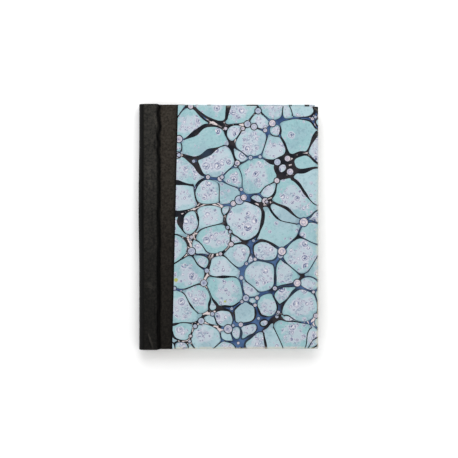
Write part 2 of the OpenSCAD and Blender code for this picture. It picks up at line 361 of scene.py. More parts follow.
marbling = {  # mm; the drops and feedings are the ones that laid out the veins on the frame
    "drops": 130,
    "rounds": 5,
    "smallest": 3,
    "largest": 17,
    "spread": 0.42,
    "strideAcross": 0.754878,
    "strideAlong": 0.569840,
    "outlinePoints": 2000,
    "outlineStep": 1.1,
    "thinnestVein": 0.9,
    "leastSlant": 0.25,
    "veinExtra": 2.6,
    "veinExtraStep": 90,
    "mostDrawn": 0.5,  # as a share of the way to the drop's centre
    "nestedRim": 0.5,  # as a share of what the rim inside it is drawn in
    "cellStep": 2.4,
    "cellDepth": -0.6,
    "veinStep": 0.9,
    "veinInside": 0.35,
    "edgeGap": 0.5,
    "weld": 0.01,
    "splashStep": 11,
    "splashVein": 0.9,
    "splashShare": 0.7,
    "splashSmall": 1.2,
    "splashLarge": 3.8,
    "splashLine": 0.8,
    "splashPoints": 24,
}
paper = {  # mm; the marbled sheet over a board
    "thickness": 0.33,
    "proud": 0.25,
    "foldRadius": 0.5,
    "foldTurns": (22.5, 45, 67.5, 90),  # degrees
    "cornerRadius": 0.8,
    "cornerTurn": 18,
    "startHead": 15,
    "startTail": 9.9,
    "edgeStep": 1.2,
    "innerFace": 6.4,
    "insideShares": (0.08, 0.18, 0.3, 0.45, 0.6, 0.8, 1),
    "mitreGap": 0.6,
    "leastTurnIn": 0.4,
    "ragged": 1.4,
    "raggedStep": 30,
    "raggedFull": 4,
    "clothDrop": 0.09,
    "dropFrom": 0.8,
    "dropTo": 1.2,
    "uneven": 0.02,
    "unevenStep": 40,
    "foldWear": (1, 0.9, 0.5),  # on the first rows of the fold
}


def partOf(value):
    # a number less the whole number below it
    return value - np.floor(value)


def scatter(k, choice):
    # a share from 0 to 1 for each number k, out of the sine of a large angle
    return partOf(10000 * np.sin(np.radians(744.26 * k + 4482.4 * choice)))


def pushed(points, centre, area):
    # a point at distance d from a feeding moves straight out to the root of d squared plus its area
    away = points - centre
    return centre + away * np.sqrt(1 + area / np.maximum((away ** 2).sum(-1, keepdims=True), 1e-6))


def drawnBack(away, square, area):
    # a feeding undone: a point moves straight in to the root of its squared distance less the area
    return away * np.sqrt(np.maximum(1 - area / np.maximum(square, 1e-9), 1e-9))[..., None]


def feedDrops(cover):
    # every drop is fed in turn, and each feeding pushes the places of all the others
    k = np.arange(marbling["drops"])
    small, choice = marbling["smallest"], cover["pattern"]
    bath = marbling["spread"] * np.array([cover["width"], book["boardHeight"]])
    strides = np.array([marbling["strideAcross"], marbling["strideAlong"]])
    jitter = columns(scatter(k, choice + 1), scatter(k, choice + 2)) - 0.5
    places = bath * (partOf((k[:, None] + 1) * strides) - 0.5) + small * jitter
    radii = small + (marbling["largest"] - small) * scatter(k, choice + 3)
    fed = []
    for step in range(marbling["drops"] * marbling["rounds"]):
        j = step % marbling["drops"]
        here, area = places[j].copy(), radii[j] ** 2 / marbling["rounds"]
        fed.append((here, area))
        places = pushed(places, here, area)
        places[j] = here
    return fed, radii


def nestedDrops(fed):
    # a drop is nested where undoing the feedings before its first one brings its place inside another drop
    drops = marbling["drops"]
    places = np.array([here for here, area in fed[:drops]])
    nested = np.zeros(drops, bool)
    for step in range(drops - 1, -1, -1):
        here, area = fed[step]
        live = (np.arange(drops) > step) & ~nested
        away = places - here
        square = (away ** 2).sum(1)
        nested |= live & (square < area)
        places = np.where(live[:, None], here + drawnBack(away, square, area), places)
    return nested


def dropOutlines(fed):
    # Each drop's first circle, carried outward by all later feedings, then drawn in towards its centre by
    # half a thin vein, over the sine of the slant at which that way meets the outline, and by a little
    # more in some parts of the bath.
    drops = marbling["drops"]
    ring = np.concatenate([circle(marbling["outlinePoints"]), [[0, 0]]])
    loops = np.stack([here + math.sqrt(area) * ring for here, area in fed[:drops]])
    for step in range(1, len(fed)):
        moved = min(step, drops)
        loops[:moved] = pushed(loops[:moved], *fed[step])
    outline, centre = loops[:, :-1], loops[:, -1:]
    inward = centre - outline
    reach = np.linalg.norm(inward, axis=2, keepdims=True)
    along = np.roll(outline, -1, 1) - np.roll(outline, 1, 1)
    crossed = np.abs(along[..., :1] * inward[..., 1:] - along[..., 1:] * inward[..., :1])
    slant = crossed / (np.linalg.norm(along, axis=2, keepdims=True) * reach)
    thin = marbling["thinnestVein"] / 2 / np.maximum(slant, marbling["leastSlant"])
    extra = ripples(outline[..., :1], outline[..., 1:], 33, marbling["veinExtraStep"])
    draw = thin + marbling["veinExtra"] * np.maximum(extra, 0)
    return outline, outline + inward * np.minimum(marbling["mostDrawn"], draw / reach), centre[:, 0]


def evenly(loop, step, fewest=12):
    # points at equal distances along a closed line
    ends = np.concatenate([loop, loop[:1]])
    along = lengthAlong(ends)
    count = max(fewest, int(along[-1] / step))
    return pointsAt(ends, along, np.arange(count) * along[-1] / count)


def veinDepth(points, fed, radii, shift=0.02, farthest=50.0):
    # The feedings are undone from the last to the first. In a drop the depth is minus the way to its
    # rim; in a vein it is the way to the nearest drop, its first radius over the slope of that distance,
    # which is read from two neighbours of each point, a small shift away. The heart is the distance from
    # a drop's centre as a share of its radius, and 1 in the veins.
    drops, rounds = marbling["drops"], marbling["rounds"]
    trio = np.stack([points, points + [shift, 0], points + [0, shift]])
    heart = np.ones(len(points))
    depth = np.full(len(points), farthest)
    live = np.ones(len(points), bool)
    for step in range(len(fed) - 1, -1, -1):
        here, area = fed[step]
        away = trio - here
        square = (away ** 2).sum(-1)
        inside = live & (square[0] < area)
        late, k = rounds - 1 - step // drops, step % drops
        heart[inside] = np.sqrt(square[0][inside] + late * area) / radii[k]
        depth[inside] = (heart[inside] - 1) * radii[k]
        live &= ~inside
        if step < drops:
            gap = np.sqrt(square) - math.sqrt(area)
            slope = np.hypot(gap[1] - gap[0], gap[2] - gap[0]) / shift
            depth = np.where(live, np.minimum(depth, gap[0] / np.maximum(slope, 1e-6)), depth)
        trio = np.where(live[None, :, None], here + drawnBack(away, square, area), trio)
    return heart, depth + marbling["thinnestVein"] / 2


def splashes(points, depth):
    # small late drops, one in each square of a grid, at the widest place of its veins if it is wide enough
    order = np.argsort(-depth)
    squares = np.floor(points[order] / marbling["splashStep"])
    chosen = order[np.unique(squares, axis=0, return_index=True)[1]]
    wide = depth[chosen] > marbling["splashVein"]
    chosen = chosen[wide & (scatter(np.arange(len(chosen)), 59) < marbling["splashShare"])]
    small, large = marbling["splashSmall"], marbling["splashLarge"]
    return points[chosen], small + (large - small) * scatter(np.arange(len(chosen)), 60) ** 2


def fromFlat(flat, cover):
    # a point of a square-cornered cover to its place in X and Y: the head edge falls, the tail edge rises
    a, v = flat[..., 0], flat[..., 1]
    share = a / cover["width"]
    high = 0.5 + v / book["boardHeight"]
    y = v + cover["shift"] - cover["headFall"] * share * high + cover["tailRise"] * share * (1 - high)
    return np.stack([book["boardX"] + a, y], -1)


def toFlat(place, cover):
    # the other way round
    a = place[..., 0] - book["boardX"]
    share = a / cover["width"]
    fall, lift = cover["headFall"] * share, cover["tailRise"] * share
    v = (place[..., 1] - cover["shift"] + (fall - lift) / 2) / (1 - (fall + lift) / book["boardHeight"])
    return np.stack([a, v], -1)


def paperStart(v):
    # distance of the paper's slanting edge from the joint edge of the board
    return paper["startTail"] + (paper["startHead"] - paper["startTail"]) * (0.5 + v / book["boardHeight"])


def dotted(start, end):
    # points at about equal steps from the start of a straight line on, without its end
    count = max(2, int(math.dist(start, end) / paper["edgeStep"]))
    return np.array(start) + (np.array(end) - start) * (np.arange(count) / count)[:, None]


def paperOutline(cover):
    # tail edge, rounded corner, fore-edge, rounded corner, head edge and back along the slanting edge
    right = cover["width"] + paper["proud"] - paper["foldRadius"]
    top = book["boardHeight"] / 2 + paper["proud"] - paper["foldRadius"]
    radius = paper["cornerRadius"] - paper["foldRadius"]
    turn = np.radians(np.arange(0, 90, paper["cornerTurn"]))
    bend = radius * columns(np.sin(turn), 1 - np.cos(turn))
    low = [right - radius, -top] + bend
    high = [right, top - radius] + columns(-bend[:, 1], bend[:, 0])
    startLow, startHigh = (paperStart(-top), -top), (paperStart(top), top)
    return np.concatenate([
        dotted(startLow, (right - radius, -top)), low,
        dotted((right, radius - top), (right, top - radius)), high,
        dotted((right - radius, top), startHigh), dotted(startHigh, startLow)]), right, top


def marbledFace(cover):
    # Triangles between the outline of the sheet, the rims of the drops and points inside both, with the
    # drop that each triangle lies in, or -1 in a vein, and the vein depth and heart of each point.
    # A nested drop and a splash have a second, wider rim, and the space between the two is a vein.
    fed, radii = feedDrops(cover)
    middle = np.array([book["boardX"] + (paper["startTail"] + cover["width"]) / 2, cover["shift"]])
    outlines, drawnIn, centres = dropOutlines(fed)
    edge, right, top = paperOutline(cover)
    edge = fromFlat(edge, cover)
    low, high = edge.min(0), edge.max(0)
    reach = (high - low) / 2 + marbling["largest"]
    near = np.flatnonzero((np.abs(centres - ((low + high) / 2 - middle)) < reach).all(1))
    nested = nestedDrops(fed)
    loops, owners = [edge], [-1]
    wider = marbling["nestedRim"]
    for k in near:
        if nested[k]:
            rim = (1 + wider) * outlines[k] - wider * drawnIn[k]
            loops.append(evenly(rim, marbling["outlineStep"]) + middle)
            owners.append(-1)
        loops.append(evenly(drawnIn[k], marbling["outlineStep"]) + middle)
        owners.append(k)

    def lattice(step):
        # rows 0.87 of a step apart, every other one half a step along, kept off the edge of the sheet
        x, y = np.meshgrid(np.arange(low[0], high[0], step), np.arange(low[1], high[1], step * 0.87))
        x[1::2] += step / 2
        flat = toFlat(columns(x.ravel(), y.ravel()), cover)
        a, v, gap = flat[:, 0], flat[:, 1], marbling["edgeGap"]
        inside = (a > paperStart(v) + gap) & (a < right - gap) & (abs(v) < top - gap)
        return fromFlat(flat[inside], cover)

    coarse, fine = lattice(marbling["cellStep"]), lattice(marbling["veinStep"])
    coarse = coarse[veinDepth(coarse - middle, fed, radii)[1] < marbling["cellDepth"]]
    depth = veinDepth(fine - middle, fed, radii)[1]
    inVein = depth > marbling["veinInside"]
    fine, depth = fine[inVein], depth[inVein]
    splashAt, splashSize = splashes(fine, depth)
    ring = circle(marbling["splashPoints"])
    for k, (spot, size) in enumerate(zip(splashAt, splashSize)):
        loops += [spot + (size + marbling["splashLine"]) * ring, spot + size * ring]
        owners += [-1, marbling["drops"] + k]
    starts = np.cumsum([0, *[len(loop) for loop in loops]])
    rims = [list(range(start, end)) for start, end in zip(starts[:-1], starts[1:])]
    points = np.concatenate([*loops, coarse, fine]).tolist()
    made, _, triangles, _, _, origins = delaunay_2d_cdt(points, [], rims, 1, marbling["weld"], True)
    kept = np.array([0 in o for o in origins])
    drop = np.array(owners)[[max(o, default=0) for o in origins]][kept]
    used, triangles = np.unique(np.array(triangles)[kept], return_inverse=True)
    triangles = triangles.reshape(-1, 3)
    place = np.array([tuple(p) for p in made])[used]
    heart, depth = veinDepth(place - middle, fed, radii)
    gaps = np.linalg.norm(place[:, None] - splashAt[None], axis=2) - splashSize
    nearest, gap = gaps.argmin(1), gaps.min(1)
    atSplash = gap < marbling["splashLine"]
    depth = np.where(atSplash, gap, depth)
    heart = np.where(atSplash, np.minimum(1 + gap / splashSize[nearest], 1), heart)
    return place, triangles, drop, depth, heart, right, top


def foldedRim(flat, triangles, right):
    # The points along tail, fore-edge and head, in that order, and the triangle beside each step from one
    # to the next. The slanting edge is left out, because the sheet isn't folded there.
    edges = openEdges([triangles])
    onSlant = abs(flat[:, 0] - paperStart(flat[:, 1])) < 0.06
    chain = np.unique(edges[~(onSlant[edges[:, 0]] & onSlant[edges[:, 1]])])
    chain = chain[np.argsort(np.arctan2(flat[chain, 1], flat[chain, 0] - right / 2))]
    codes = directedEdges([triangles]) @ [len(flat), 1]
    order = np.argsort(codes)
    return chain, order[np.searchsorted(codes, chain[:-1] * len(flat) + chain[1:], sorter=order)] // 3


def foldProfile(bend):
    # Distance outward, depth below the face and share of the turned-in width, for a quarter turn of this
    # bend radius, the side of the board, another quarter turn and the turned-in strip.
    total, radius = book["paperOuter"] - paper["innerFace"], paper["foldRadius"]
    shares, turn = np.array(paper["insideShares"]), np.radians(paper["foldTurns"])
    out = [bend * np.sin(turn), [bend], bend * np.cos(turn), 0 * shares]
    down = [radius - bend * np.cos(turn), [total / 2], total - radius + bend * np.sin(turn),
            total - radius + bend + 0 * shares]
    inside = [0 * turn, [0], 0 * turn, shares]
    return np.concatenate(out), np.concatenate(down), np.concatenate(inside)


def faceSag(place):
    # the face sinks a little past the edge of the cloth, and the glued sheet is never quite flat
    clothEnd = book["clothEndX"]
    drop = paper["clothDrop"] * smooth(place[:, 0], clothEnd - paper["dropFrom"], clothEnd + paper["dropTo"])
    return drop + paper["uneven"] - paper["uneven"] * ripples(*place.T, 5, paper["unevenStep"])


def marbledPaper(cover, material):
    # The marbled face, then the sheet carried over the edge of the board: a quarter turn, the side,
    # another quarter turn and the turned-in strip, which is mitred at the corners.
    place, triangles, drop, depth, heart, right, top = marbledFace(cover)
    flat = toFlat(place, cover)
    chain, owner = foldedRim(flat, triangles, right)
    rim = flat[chain]
    radius = paper["cornerRadius"] - paper["foldRadius"]
    core = columns(np.minimum(rim[:, 0], right - radius), np.clip(rim[:, 1], radius - top, top - radius))
    outward = (rim - core) / np.linalg.norm(rim - core, axis=1, keepdims=True)
    along = columns(-outward[:, 1], outward[:, 0])
    fromSide, fromTail, fromHead = right - rim[:, 0], abs(rim[:, 1] + top), abs(rim[:, 1] - top)
    mitre = np.minimum(np.maximum(fromSide, fromTail), np.maximum(fromSide, fromHead))
    inward = np.clip(mitre - paper["mitreGap"], paper["leastTurnIn"], book["turnIn"])
    skewed = paper["ragged"] * ripples(*rim.T, 21, paper["raggedStep"])
    skewed = skewed * np.minimum(inward / paper["raggedFull"], 1)
    total = book["paperOuter"] - paper["innerFace"]
    sag = faceSag(place)
    skins = []
    for lift in (paper["thickness"], 0):
        out, down, inside = foldProfile(paper["foldRadius"] - lift)
        skew = along[None] * (skewed[None] * inside[:, None])[..., None]
        reachOut = out[:, None] - inside[:, None] * inward[None]
        strip = rim[None] + outward[None] * reachOut[..., None] + skew
        height = book["paperOuter"] - down[:, None] - sag[chain][None] * (1 - down[:, None] / total)
        strip = np.concatenate([fromFlat(strip, cover), height[..., None]], -1).reshape(-1, 3)
        face = np.column_stack([place, book["paperOuter"] - sag - lift])
        skins.insert(0, toBook(np.concatenate([face, strip]), cover["side"]))
    zero = np.zeros((1, len(chain)))
    steps = np.hypot(np.diff(reachOut, axis=0, prepend=zero), np.diff(down, prepend=0)[:, None])
    unfolded = place[chain][None] + outward[None] * np.cumsum(steps, 0)[..., None] + skew
    lay = np.tile(np.concatenate([place, unfolded.reshape(-1, 2)]), (2, 1))
    rows = np.concatenate([chain[None], len(flat) + np.arange(len(strip)).reshape(-1, len(chain))])
    quads = np.stack([rows[:-1, 1:], rows[:-1, :-1], rows[1:, :-1], rows[1:, 1:]], -1).reshape(-1, 4)
    points, faces = closedSheet(*skins, [triangles, quads])
    drops = np.concatenate([drop, np.tile(drop[owner], len(rows) - 1)])
    rimWear = np.zeros(len(rows))
    rimWear[:len(paper["foldWear"])] = paper["foldWear"]
    wear = np.zeros(len(flat))
    wear[chain] = rimWear[0]

    def twice(onFace, onStrip):
        # the face and the strip, on the outer skin and again on the inner one
        return np.tile(np.concatenate([onFace, onStrip]), 2)

    def withRim(values, onRim):
        # the faces of both skins, and one value for the rim between the skins
        return np.concatenate([values, values, np.full(len(faces[-1]), onRim)])

    piece = addPiece(
        cover["name"] + "_marbled_paper", points, faces, material, lay,
        onPoints={
            "veinDepth": twice(depth, np.tile(depth[chain], len(rows) - 1)),
            "dropHeart": twice(heart, np.tile(heart[chain], len(rows) - 1)),
            "foldWear": twice(wear, np.repeat(rimWear[1:], len(chain))),
        },
        onFaces={
            "inVein": withRim(drops < 0, 0), "dropTone": withRim(scatter(drops, 40), 0),
            "dropFoam": withRim(scatter(drops, 41), 0), "cutEdge": withRim(drops * 0, 1),
            "splash": withRim(drops >= marbling["drops"], 0),
        })
    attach(piece, cover["body"])
    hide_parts(cover["name"] + "_cover_paper", cover["name"] + "_marbling")


inks = {  # the marbled papers' colours as they look on the book
    "aqua": rgb(155, 197, 202),
    "greyAqua": rgb(178, 207, 215),
    "dropRim": rgb(96, 124, 144),
    "foam": rgb(210, 212, 224),
    "foamMark": rgb(104, 118, 154),
    "bubbleFilm": rgb(212, 213, 226),
    "bubbleRing": rgb(94, 106, 144),
    "bubbleHeart": rgb(66, 82, 124),
    "bubbleGlint": rgb(236, 234, 238),
    "splashCream": rgb(226, 214, 218),
    "splashLilac": rgb(190, 200, 216),
    "splashCloud": rgb(164, 168, 194),
    "splashRing": rgb(126, 128, 162),
    "splashFleck": rgb(92, 102, 142),
    "blackVein": rgb(18, 22, 31),
    "brownVein": rgb(46, 42, 46),
    "blueVein": rgb(66, 90, 116),
    "deepPool": rgb(42, 66, 108),
    "steelPool": rgb(80, 110, 152),
    "thread": rgb(224, 212, 212),
    "drip": rgb(178, 182, 70),
    "bareFold": rgb(222, 214, 192),
    "cutEdge": rgb(226, 222, 208),
}
mottles = [  # noise scale, detail and roughness; where the colour starts and is full; its share; the colour
    (40, 3, 0.5, 0.5, 0.72, 0.6, rgb(148, 176, 190)),
    (520, 3, 0.7, 0.5, 0.7, 0.4, rgb(194, 210, 218)),
    (460, 2, 0.6, 0.48, 0.34, 0.3, rgb(112, 144, 158)),
    (800, 1, 0.5, 0.72, 0.78, 0.45, rgb(84, 108, 126)),
]
bubbles = [  # cells to the metre, the size in its cell, and how many cells have one in foam and outside it
    (300, 0.4, 0.6, 0.06),
    (165, 0.43, 0.75, 0.12),
    (92, 0.44, 0.66, 0.18),
]
drips = [(-46.5, -47.1, 1.75), (-3.0, -66.1, 1.1)]  # mm: X, Y and radius of two small drips of yellow


def marbledMaterial():
    # drops, foam, bubbles, splashes, veins, drips and worn folds, each laid over the last by a share that
    # comes from noise and from the values of the sheet
    material, shader, place = newMaterial("marbledPaper")
    names = ("veinDepth", "dropHeart", "inVein", "splash", "dropTone", "dropFoam")
    depth, heart, inVein, splash, tone, foam = (painted(place, name) for name in names)
    # drops of pale colour: a greenish blue and a greyer one, with a soft mottle
    mottle = noise(place, 70, 4, 0.6)
    pale = mixed(rise(tone + 0.9 * (mottle - 0.5), 0.2, 0.8), inks["aqua"], inks["greyAqua"])
    for scale, detail, roughness, low, high, share, colour in mottles:
        pale = mixed(rise(noise(place, scale, detail, roughness), low, high) * share, pale, colour)
    # a cloud of foam lies round the heart of most drops, with bubbles in it and a few outside
    cloud = rise(heart + 1.8 * (noise(place, 80, 3, 0.6) - 0.5), 0.8, 0.5) * rise(foam, 0.1, 0.25)
    pale = mixed(cloud * 0.55, pale, inks["foam"])
    marks = rise(abs(noise(place, 300, 2, 0.6, 1) - 0.5), 0.05, 0.02) * rise(noise(place, 130, 1), 0.5, 0.58)
    pale = mixed(marks * cloud * 0.7, pale, inks["foamMark"])
    lay = sheetLay(place)
    for scale, size, inCloud, outside in bubbles:
        chance = spots(lay, scale, "Color")
        own = size * (0.55 + 0.45 * part(chance, 1))
        across = (spots(lay, scale) + 0.16 * (noise(place, scale * 5, 1) - 0.5)) / own
        share = outside + cloud * (inCloud - outside)
        present = rise(part(chance, 0) - share, 0.02, -0.02) * (0.75 + 0.25 * part(chance, 2))
        squiggle = rise(noise(place, scale * 5, 2, 0.6, 0.6), 0.48, 0.54)
        ring = rise(abs(across - 0.6), 0.18, 0.06) * (0.4 + 0.6 * squiggle)
        pale = mixed(rise(across, 1.05, 0.8) * present * 0.9, pale, inks["bubbleFilm"])
        pale = mixed(ring * present, pale, inks["bubbleRing"])
        pale = mixed(rise(across, 0.45, 0.33) * present * squiggle, pale, inks["bubbleHeart"])
        pale = mixed(rise(across, 0.3, 0.16) * present * (1 - squiggle), pale, inks["bubbleGlint"])
    # the splashes are cream and lilac, each with a ring and a fleck
    late = mixed(rise(foam, 0.3, 0.7), inks["splashCream"], inks["splashLilac"])
    late = mixed(rise(noise(place, 420, 2), 0.5, 0.62) * 0.6, late, inks["splashCloud"])
    wavy = heart + 0.5 * (noise(place, 330, 1) - 0.5)
    late = mixed(rise(abs(wavy - 0.5), 0.16, 0.05) * 0.6, late, inks["splashRing"])
    wavy = heart + 0.8 * (noise(place, 260, 1) - 0.5)
    late = mixed(rise(wavy, 0.3, 0.2) * rise(tone, 0.3, 0.4) * 0.8, late, inks["splashFleck"])
    pale = mixed(splash, pale, late)
    # the rims of the drops are a little deeper
    pale = mixed(rise(depth, -0.9, 0) * 0.4, pale, inks["dropRim"])
    # veins: brown-black, steel blue in places, and pulled threads of cream where they are wide
    dark = mixed(rise(noise(place, 120, 3), 0.4, 0.65), inks["blackVein"], inks["brownVein"])
    pool = rise(depth, 0.3, 0.55) * rise(noise(place, 34, 1, 0.4), 0.53, 0.57)
    blue = mixed(rise(noise(place, 110, 3), 0.3, 0.7), inks["deepPool"], inks["steelPool"])
    dark = mixed(pool, dark, blue)
    faint = rise(noise(place, 19, 1), 0.6, 0.68) * rise(depth, 0.7, 0.3)
    dark = mixed(faint * 0.4, dark, inks["blueVein"])
    strand = rise(abs(noise(place, 75, 2, 0.5, 1.4) - 0.5), 0.06, 0.03)
    strand = strand * rise(noise(place, 24, 1), 0.52, 0.47) * rise(depth, 0.45, 0.65)
    dark = mixed(strand, dark, inks["thread"])
    colour = mixed(inVein, pale, dark)
    for x, y, radius in drips:
        centre = (x * mm, y * mm, 2 * book["middleZ"] * mm)
        gap = place.node("ShaderNodeVectorMath", {"operation": "DISTANCE"}, {0: place, 1: centre}, "Value")
        gap = gap + 0.0008 * noise(place, 900, 1)
        colour = mixed(rise(gap, (radius + 0.7) * mm, radius * mm) * 0.85, colour, inks["drip"])
    # the folds are rubbed to the cream of the paper, most at the tail, and the cut edge shows it
    tail = rise(part(place, 1), 0.09, -0.08)
    worn = painted(place, "foldWear") * rise(noise(place, 170, 3, 0.7) + 0.16 * tail, 0.42, 0.62)
    colour = mixed(worn * (0.3 + 0.7 * tail) * 0.75, colour, inks["bareFold"])
    colour = mixed(painted(place, "cutEdge"), colour, inks["cutEdge"])
    fibre = bump(noise(place, 2600, 3, 0.7), 0.00004, 0.35)
    fibre = bump(noise(place, 240, 2), 0.00012, 0.2, fibre)
    feed(shader, {"Base Color": colour, "Roughness": 0.5 + 0.2 * mottle, "Normal": fibre,
                  "Specular IOR Level": 0.1})
    return material


# Book cloth

cloth = {  # mm; one black cloth over the spine, the hinge strips, both grooves and the boards' edges
    "thickness": 0.4,
    "rowStep": 1.0,
    "lineStep": 0.1,
    "shoulderBlur": 9,  # steps of the line
    "blurReach": 25,
    "keepOneIn": 4,
    "foldRadius": 0.7,
    "foldTurn": 18,  # degrees
    "leastBend": 0.02,
    "stripRows": 8,
    "turnDepth": 2.8,
    "shallowerGroove": 1.95,
    "shallowerRound": 1.2,
    "grooveDepth": 2.1,
    "grooveHalf": 2.5,
    "grooveWander": 0.2,
    "wanderStep": 34,
    # the next four: the half-width and wander of the painted dark line of shade through the groove, and how
    # much raised creases are painted lighter and sunk ones darker
    "darkHalf": 3,
    "darkWander": 0.9,
    "creaseHighlight": 11,
    "creaseShade": 5,
    "deepestDip": 0.12,
    "rippleHeight": 0.05,
    "rippleStep": 22,
    "crumpleHeight": 0.3,
    "crumpleStep": 9,
    "crumpleHalf": 4,
    "crumpleFrom": 30,
    "crumpleTo": 80,
    "calmShare": 0.35,  # crumpling of the groove at the tail, as a share of that at the head
    "bowHeight": 0.65,
    "bowMiddle": 18,
    "bowHalf": 38,
    "bowBase": 0.3,
    "backAway": 40,  # the back's ripples are read this far from the front's
    "underPaper": 8,
    # painted shadow of the paper's edge on the cloth: how far it reaches
    "paperShade": 1.7,
    "threadPitch": 0.42,
}
creases = [  # mm: where each ridge or crease starts and ends, its height and its half-width
    (-71.8, -92.5, -66.5, -108.8, 0.36, 0.7),
    (-72.4, -97, -67.8, -109, -0.16, 0.8),
    (-65.2, 80, -65.6, 66, -0.14, 0.7),
    (-67.4, 18, -67.9, -6, -0.10, 0.8),
    (-72.6, -47, -66.2, -57, 0.10, 2.2),
    (-66.0, 103, -63.0, 88, 0.16, 0.7),
    (-64.6, 90, -62.6, 74, -0.16, 0.6),
    (-66.0, -62, -65.0, -90, -0.10, 0.8),
    (-70.5, 60, -69.8, 30, 0.05, 1.4),
]


def nearHead(y):
    # 0 over the tail half of the book and 1 near the head, where the groove is most crumpled
    return smooth(y, cloth["crumpleFrom"], cloth["crumpleTo"])


def clothRelief(x, y):
    # ripples of glued cloth, low in most places and stronger in the crumpled groove, and the creases
    lively = np.exp(-((x - book["hingeX"]) / cloth["crumpleHalf"]) ** 2)
    lively = lively * (cloth["calmShare"] + (1 - cloth["calmShare"]) * nearHead(y))
    lift = cloth["rippleHeight"] * ripples(x, y * 0.45, 3, cloth["rippleStep"])
    lift = lift + cloth["crumpleHeight"] * lively * ripples(x * 1.2, y * 0.8, 8, cloth["crumpleStep"])
    return np.maximum(lift + creaseLift(x, y), -cloth["deepestDip"])


def creaseLift(x, y):
    # the height of each crease, falling off to both sides and towards its ends
    lift = 0 * x * y
    for x1, y1, x2, y2, height, width in creases:
        dx, dy = x2 - x1, y2 - y1
        t = np.clip(((x - x1) * dx + (y - y1) * dy) / (dx * dx + dy * dy), 0, 1)
        gap = np.hypot(x - x1 - t * dx, y - y1 - t * dy)
        lift = lift + height * np.exp(-(gap / width) ** 2) * smooth(t, -0.01, 0.3) * smooth(t, 1.01, 0.7)
    return lift


def grooveLine(y):
    # how the middle of the groove wanders along the book, from about -1 to 1
    return ripples(y, y * 0, 11, cloth["wanderStep"])


def grooveShape(x, y):
    # a raised cosine across the groove
    wander = cloth["grooveWander"] * grooveLine(y)
    t = np.clip((x - book["hingeX"] - wander) / cloth["grooveHalf"], -1, 1)
    return 0.5 + 0.5 * np.cos(math.pi * t)


def paintedLightShare(x, y):
    # painted light and shade: 0 along a dark line of painted shade that wanders through the groove, most at
    # the head, and 1 beside it; raised creases are painted lighter and sunk ones darker
    wander = cloth["darkWander"] * (grooveLine(y) + nearHead(y) * ripples(y, y * 0, 27, 17))
    t = np.clip((x - book["hingeX"] - wander) / cloth["darkHalf"], -1, 1)
    crease = creaseLift(x, y)
    beside = (0.5 - 0.5 * np.cos(math.pi * t)) * (1 + cloth["creaseShade"] * np.minimum(crease, 0))
    return beside + cloth["creaseHighlight"] * np.maximum(crease, 0)


def turnDepth(x):
    # how far the sheet goes down before it turns in at head and tail: less in the groove and on the round
    onRound = smooth(-x, -book["shoulderX"] - 1, -book["shoulderX"] + 1)
    depth = cloth["turnDepth"] - cloth["shallowerRound"] * onRound
    return depth - cloth["shallowerGroove"] * grooveShape(x, 0 * x)


def endChain():
    # One end of the sheet, from the inner edge of the turned-in strip out and round to the outer face.
    # Each point is a sum of shares: of the fold's depth, of its radius, of its bend down and outwards,
    # and of the turned-in width.
    quarter = np.radians(np.arange(0, 91, cloth["foldTurn"]))
    turned = np.linspace(1, 0, cloth["stripRows"] + 1)[:-1]
    strip = columns(1, -1, 1, 0, turned)
    second = columns(1, -1, np.cos(quarter), np.sin(quarter), 0)
    first = columns(0, 1, -np.cos(quarter), np.sin(quarter), 0)[::-1]
    return np.concatenate([strip, second, [[0.5, 0, 0, 1, 0]], first])


def wrapped(line, normal, depth, headY, tailY, relief, paintedLight):
    # A line in X and Z is carried along the book. At head and tail the sheet turns over by depth and in
    # again. The inner skin is the same shape set in by the thickness of the cloth. The last argument is
    # the share of painted light: 1 where the cloth stands proud and 0 in its hollows, which get painted
    # shade.
    byDepth, byRadius, bendDown, bendOut, byTurnIn = endChain().T[:, None]
    rows = int((headY.max() - tailY.min()) / cloth["rowStep"])
    between = np.linspace(-1, 1, rows)[1:-1]
    level = np.zeros((len(line), len(between)))
    depth, headY, tailY = depth[:, None], headY[:, None], tailY[:, None]
    radius = np.minimum(cloth["foldRadius"], depth / 2)
    skins = []
    for inset in (0, cloth["thickness"]):
        bend = np.maximum(radius - inset, cloth["leastBend"])
        low = byDepth * depth + byRadius * radius + bendDown * bend
        back = radius + byTurnIn * (book["turnIn"] - radius) - bendOut * bend
        down = np.concatenate([low, level + inset, low[:, ::-1]], 1)
        middle = (tailY + radius) * (1 - between) / 2 + (headY - radius) * (1 + between) / 2
        y = np.concatenate([tailY + back, middle, headY - back[:, ::-1]], 1)
        lift = relief(line[:, :1], y) - down
        x = line[:, :1] + normal[:, :1] * lift
        z = line[:, 1:] + normal[:, 1:] * lift
        skins.append(np.stack([x, y, z], -1).reshape(-1, 3))
    across = lengthAlong(line)
    turnedBack = np.concatenate([low, level, low[:, ::-1]], 1)
    lay = np.stack([np.broadcast_to(across[:, None], y.shape), y + turnedBack], -1).reshape(-1, 2)
    points, faces = closedSheet(*skins, [gridFaces(*y.shape)])
    onPoints = {"paintedLight": np.tile(np.broadcast_to(paintedLight(line[:, :1], y), y.shape).ravel(), 2)}
    return points, faces, np.tile(lay, (2, 1)), onPoints, across[-1]


